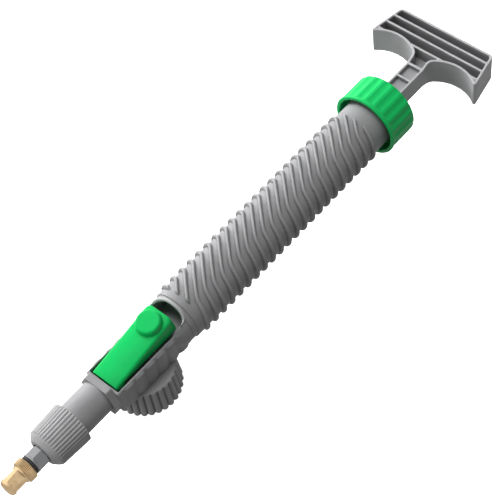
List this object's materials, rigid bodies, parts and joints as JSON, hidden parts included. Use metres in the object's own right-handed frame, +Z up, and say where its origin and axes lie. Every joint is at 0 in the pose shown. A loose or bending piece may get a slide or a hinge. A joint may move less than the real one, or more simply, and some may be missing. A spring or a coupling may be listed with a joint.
{
  "type": "hand pump bottle sprayer",
  "caption": "Hand-pump pressure sprayer that screws on a drink bottle: ribbed barrel with a T-handle, thumb lever valve, fluted bottle nut and adjustable brass nozzle.",
  "frame": {"origin": "centre of the bottle nut's open mouth", "axes": "+X is the spray direction along the pump axis, +Z is up through the lever, the bottle comes in from -Z; +Y is the sprayer's left side"},
  "size_m": [0.3165, 0.0644, 0.0428],
  "materials": {
    "grey_plastic": "satin moulded",
    "dark_grey_plastic": "satin moulded",
    "green_plastic": "glossy moulded",
    "white_plastic": "matt moulded",
    "steel": "drawn stainless",
    "brass": "turned",
    "rubber": "matt"
  },
  "bodies": {
    "sprayer_body": {"pump_barrel": "grey_plastic", "end_cap": "green_plastic", "rod_guide": "white_plastic", "valve_housing": "grey_plastic", "housing_o_ring": "rubber", "check_valve_seat": "white_plastic", "check_valve_spring": "steel", "lever_pin": "steel", "valve_spring": "steel", "stem_o_ring": "rubber", "stem_gland": "white_plastic", "bottle_connector": "grey_plastic", "tube_bush": "white_plastic", "bottle_gasket": "rubber", "outlet_tube": "grey_plastic", "outlet_o_ring": "rubber", "collar_nut": "grey_plastic", "stem_gasket": "rubber", "nozzle_stem": "dark_grey_plastic", "nozzle_o_ring": "rubber", "nozzle_core": "white_plastic"},
    "pump_handle": {"t_handle": "dark_grey_plastic", "piston_head": "white_plastic", "piston_o_ring": "rubber", "piston_screw": "steel"},
    "lever": {"thumb_lever": "green_plastic"},
    "water_valve": {"valve_stem": "steel", "valve_washer": "rubber"},
    "check_disc": {"check_valve_disc": "rubber"},
    "nut": {"bottle_nut": "grey_plastic"},
    "nozzle_slider": {"nozzle_seal": "rubber"},
    "nozzle": {"brass_nozzle": "brass"}
  },
  "joints": [
    {"name": "pump_slide", "type": "slide", "parent": "sprayer_body", "child": "pump_handle", "axis": [1, 0, 0], "range_m": [-0.1, 0.02]},
    {"name": "lever_hinge", "type": "hinge", "parent": "sprayer_body", "child": "lever", "pos_m": [0.0175, 0, 0.0276], "axis": [0, -1, 0], "range_deg": [0, 6], "stiffness_Nm_per_rad": 0.4, "springref_deg": -11.46},
    {"name": "valve_slide", "type": "slide", "parent": "sprayer_body", "child": "water_valve", "axis": [0, 0, -1], "range_m": [0, 0.00185], "deforming": ["valve_spring"]},
    {"name": "check_slide", "type": "slide", "parent": "sprayer_body", "child": "check_disc", "axis": [1, 0, 0], "range_m": [0, 0.0008], "stiffness_N_per_m": 50, "springref_m": -0.003, "deforming": ["check_valve_spring"]},
    {"name": "nut_turn", "type": "hinge", "parent": "sprayer_body", "child": "nut", "pos_m": [0, 0, 0.008], "axis": [0, 0, 1], "continuous": true},
    {"name": "nozzle_slide", "type": "slide", "parent": "sprayer_body", "child": "nozzle_slider", "axis": [1, 0, 0], "range_m": [0, 0.001]},
    {"name": "nozzle_turn", "type": "hinge", "parent": "nozzle_slider", "child": "nozzle", "pos_m": [0.0696, 0, 0.025], "axis": [1, 0, 0], "range_deg": [0, 360]}
  ],
  "couplings": [
    {"joint": "valve_slide", "follows": "lever_hinge", "m_per_rad": 0.0175},
    {"joint": "nozzle_turn", "follows": "nozzle_slide", "rad_per_m": 6283.2}
  ]
}
